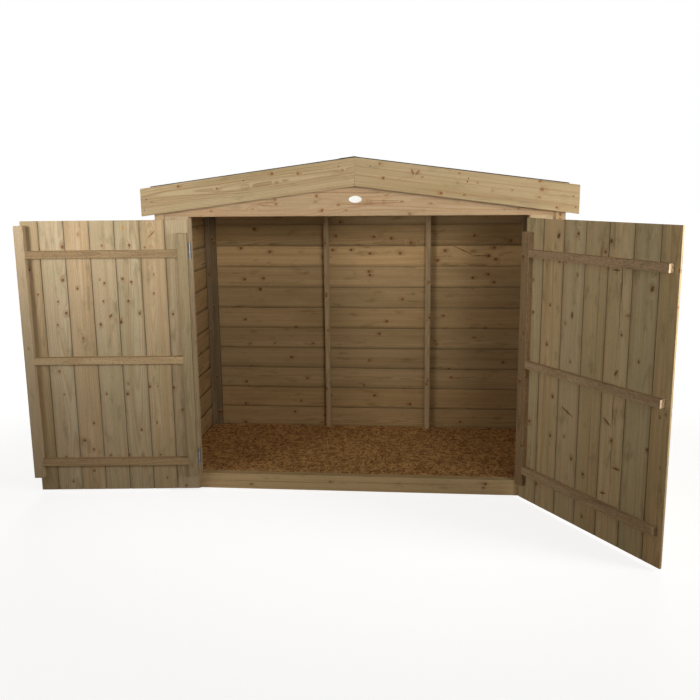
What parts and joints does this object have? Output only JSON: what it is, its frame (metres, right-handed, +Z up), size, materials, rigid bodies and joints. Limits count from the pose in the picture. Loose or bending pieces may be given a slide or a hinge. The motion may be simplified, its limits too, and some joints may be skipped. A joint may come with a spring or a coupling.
{
  "type": "bike shelter",
  "caption": "Low timber store with overlap-boarded walls, a shallow felted gable roof, a boarded floor and two ledged doors on butt hinges.",
  "frame": {"origin": "underside of the middle floor joist, at the middle of the framing's width and depth, at ground level", "axes": "+X to the right as seen from the doors, +Y from the doors to the back wall, +Z up"},
  "size_m": [2.7686, 1.4601, 1.5919],
  "materials": {
    "frame_wood": "planed softwood, pressure treated",
    "door_wood": "planed tongued softwood boards, pressure treated",
    "wall_wood": "sawn overlapping softwood boards, pressure treated",
    "gable_wood": "planed tongued softwood boards, pressure treated",
    "barge_wood": "planed softwood, pressure treated",
    "floor_panel": "oriented strand board",
    "felt": "mineral roof felt",
    "galvanised_steel": "galvanised",
    "badge": "blank satin plate"
  },
  "bodies": {
    "shelter": {"floor_board": "floor_panel", "floor_joists": "frame_wood", "floor_side_bearers": "frame_wood", "door_sill": "door_wood", "door_post_left": "door_wood", "door_post_right": "door_wood", "front_corner_posts": "frame_wood", "header_rail": "frame_wood", "front_gable_lower_board": "gable_wood", "front_gable_upper_board": "gable_wood", "front_gable_rails": "frame_wood", "back_gable_rails": "frame_wood", "ridge_beam": "frame_wood", "eaves_rails": "frame_wood", "left_wall_boards": "wall_wood", "right_wall_boards": "wall_wood", "back_wall_boards": "wall_wood", "back_posts": "frame_wood", "back_top_rail": "frame_wood", "front_panel_left": "door_wood", "front_panel_right": "door_wood", "corner_strip_front_left": "frame_wood", "corner_strip_front_right": "frame_wood", "corner_strip_back_left": "frame_wood", "corner_strip_back_right": "frame_wood", "roof_boards_left": "frame_wood", "roof_boards_right": "frame_wood", "roof_felt_left": "felt", "roof_felt_right": "felt", "barge_board_front_left": "barge_wood", "barge_board_front_right": "barge_wood", "barge_board_back_left": "barge_wood", "barge_board_back_right": "barge_wood", "badge_plate": "badge", "left_post_hinge_leaves": "galvanised_steel", "right_post_hinge_leaves": "galvanised_steel"},
    "left_door": {"left_door_boards": "door_wood", "left_door_ledges": "door_wood", "left_door_batten": "door_wood", "meeting_strip": "door_wood", "left_door_hinge_leaves": "galvanised_steel"},
    "right_door": {"right_door_boards": "door_wood", "right_door_ledges": "door_wood", "right_door_batten": "door_wood", "right_door_hinge_leaves": "galvanised_steel"}
  },
  "joints": [
    {"name": "left_door_hinge", "type": "hinge", "parent": "shelter", "child": "left_door", "pos_m": [-0.7725, -0.3915, 0.672], "axis": [0, 0, 1], "range_deg": [-1, 175]},
    {"name": "right_door_hinge", "type": "hinge", "parent": "shelter", "child": "right_door", "pos_m": [0.7725, -0.3915, 0.672], "axis": [0, 0, 1], "range_deg": [-124.5, 51]}
  ]
}
